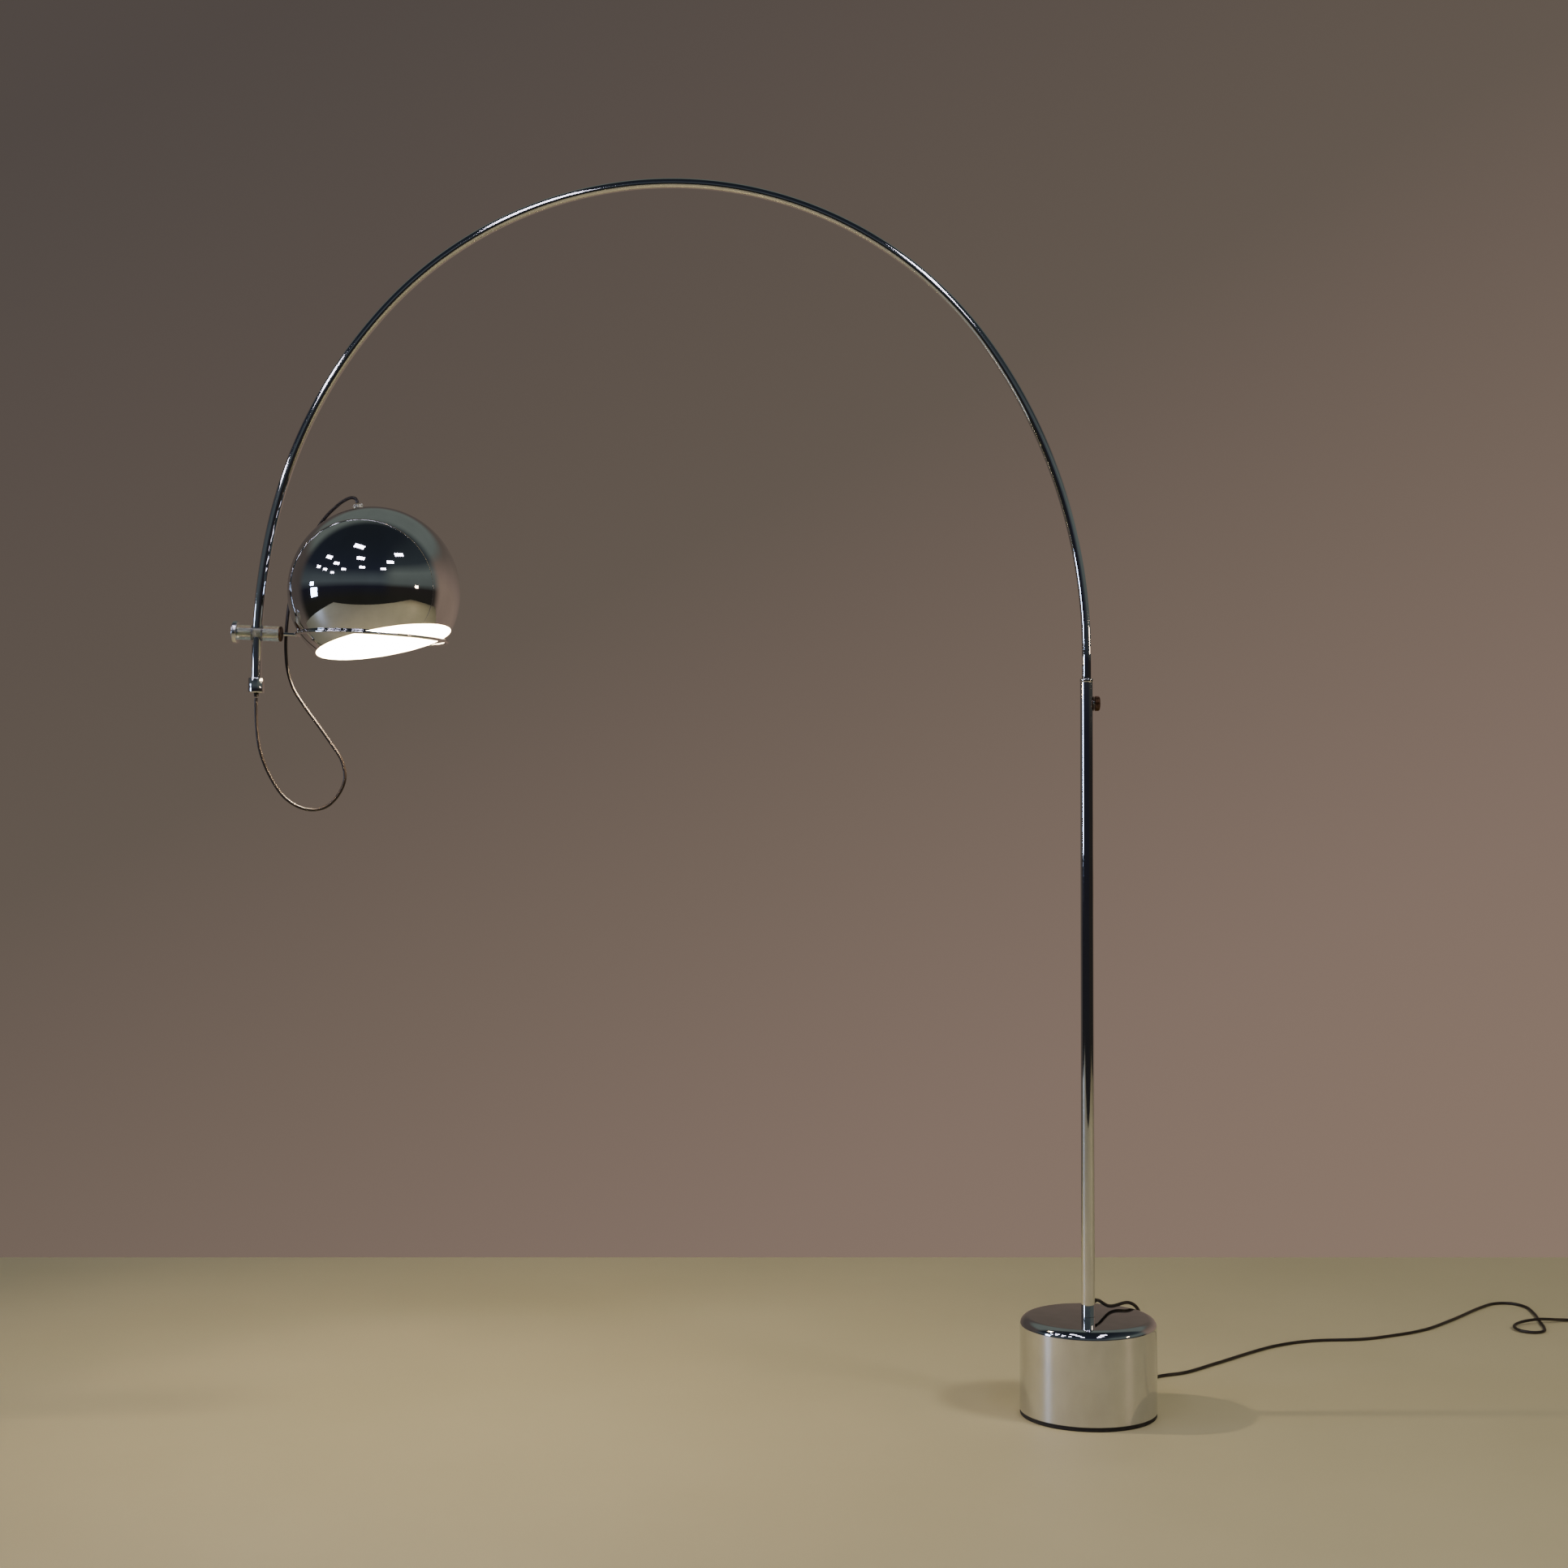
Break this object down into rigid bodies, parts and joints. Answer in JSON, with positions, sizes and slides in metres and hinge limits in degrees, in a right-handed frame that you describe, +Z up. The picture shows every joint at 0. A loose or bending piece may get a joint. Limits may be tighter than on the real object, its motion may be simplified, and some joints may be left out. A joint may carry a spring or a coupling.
{
  "type": "arc floor lamp",
  "caption": "Arc floor lamp: a long arched tube telescopes from a post on a drum base and carries a ball shade in a clamped ring.",
  "frame": {"origin": "centre of the base's underside, on the floor", "axes": "+Z up along the post; the arch reaches towards -X; +Y is the side away from the viewer in the front view"},
  "size_m": [2.5094, 0.9282, 1.9967],
  "materials": {
    "chrome": "polished chrome plate",
    "dark_chrome": "chrome plate, finely knurled",
    "cast_iron": "as cast",
    "zinc_steel": "zinc-plated steel",
    "black_rubber": "matt black rubber",
    "felt": "dark green felt",
    "ivory_nylon": "ivory nylon",
    "clear_acrylic": "clear acrylic, polished",
    "brass": "turned brass",
    "black_plastic": "black moulded plastic",
    "porcelain": "white porcelain",
    "opal_glass": "opal glass, lit",
    "cord": "dark brown-black PVC cord"
  },
  "bodies": {
    "base": {"base_cover": "chrome", "base_ballast": "cast_iron", "foot_ring": "black_rubber", "bottom_plate": "zinc_steel", "felt_pad": "felt", "stud_spacer": "zinc_steel", "post_stud": "zinc_steel", "stud_washer": "zinc_steel", "stud_nut": "zinc_steel", "post_foot_plug": "zinc_steel", "post_tube": "chrome", "post_collar": "chrome", "post_bush": "ivory_nylon", "lock_boss": "chrome", "mains_grommet": "black_rubber", "post_lead": "cord", "mains_cord_1": "cord", "mains_cord_2": "cord", "mains_cord_3": "cord", "mains_cord_tail": "cord", "mains_coil": "cord", "coil_tie": "black_plastic", "plug_body": "black_plastic", "plug_relief": "black_plastic", "plug_pin_left": "brass", "plug_pin_right": "brass"},
    "lock": {"lock_knob": "dark_chrome", "lock_screw": "zinc_steel", "lock_pad": "ivory_nylon"},
    "height_guide": {"leg_guide": "ivory_nylon"},
    "arch": {"arch_tube": "chrome", "arch_lead": "cord", "arch_end_cap": "chrome", "end_cap_screw": "zinc_steel", "end_cap_grommet": "black_rubber", "hanging_cord_1": "cord"},
    "liner": {"clamp_liner": "ivory_nylon", "hanging_cord_2": "cord"},
    "clamp": {"clamp_body": "clear_acrylic", "knob_core": "ivory_nylon", "stem_core": "ivory_nylon", "clamp_pad": "brass", "hanging_cord_3": "cord"},
    "clamp_tightener": {"clamp_knob": "chrome", "clamp_screw": "zinc_steel"},
    "ring": {"clamp_collar": "dark_chrome", "ring_stem": "chrome", "holder_ring": "chrome", "hanging_cord_4": "cord"},
    "shade": {"shade_shell": "chrome", "cord_gland": "clear_acrylic", "threaded_nipple": "brass", "shade_nut": "zinc_steel", "lamp_holder_cap": "black_plastic", "lamp_holder_skirt": "black_plastic", "contact_block": "porcelain", "holder_thread": "brass", "holder_lead": "cord", "bulb_cap": "zinc_steel", "bulb_glass": "opal_glass"}
  },
  "joints": [
    {"name": "post_lock_turn", "type": "hinge", "parent": "base", "child": "lock", "pos_m": [0.0168, 0, 1.1437], "axis": [1, 0, 0], "range_deg": [-180, 180]},
    {"name": "arch_height", "type": "slide", "parent": "base", "child": "height_guide", "axis": [0, 0, 1], "range_m": [-0.04, 0.2]},
    {"name": "arch_swivel", "type": "hinge", "parent": "height_guide", "child": "arch", "pos_m": [0, 0, 1.18], "axis": [0, 0, 1], "range_deg": [-170, 170]},
    {"name": "clamp_travel", "type": "hinge", "parent": "arch", "child": "liner", "pos_m": [-0.34319, 0, 1.21266], "axis": [0, 1, 0], "range_deg": [-2.4, 7], "deforming": ["hanging_cord_1"]},
    {"name": "clamp_swivel", "type": "hinge", "parent": "liner", "child": "clamp", "pos_m": [-1.34216, 0, 1.25802], "axis": [0.0454, 0, 0.999], "range_deg": [-120, 120], "deforming": ["hanging_cord_2"]},
    {"name": "clamp_knob_turn", "type": "hinge", "parent": "clamp", "child": "clamp_tightener", "pos_m": [-1.34216, 0, 1.25802], "axis": [0.999, 0, -0.0454], "range_deg": [-180, 180]},
    {"name": "ring_roll", "type": "hinge", "parent": "clamp", "child": "ring", "pos_m": [-1.34216, 0, 1.25802], "axis": [0.999, 0, -0.0454], "range_deg": [-60, 60], "deforming": ["hanging_cord_3"]},
    {"name": "shade_tilt", "type": "hinge", "parent": "ring", "child": "shade", "pos_m": [-1.15297, 0, 1.324], "axis": [0, 1, 0], "range_deg": [-12, 24], "deforming": ["hanging_cord_4"]}
  ]
}
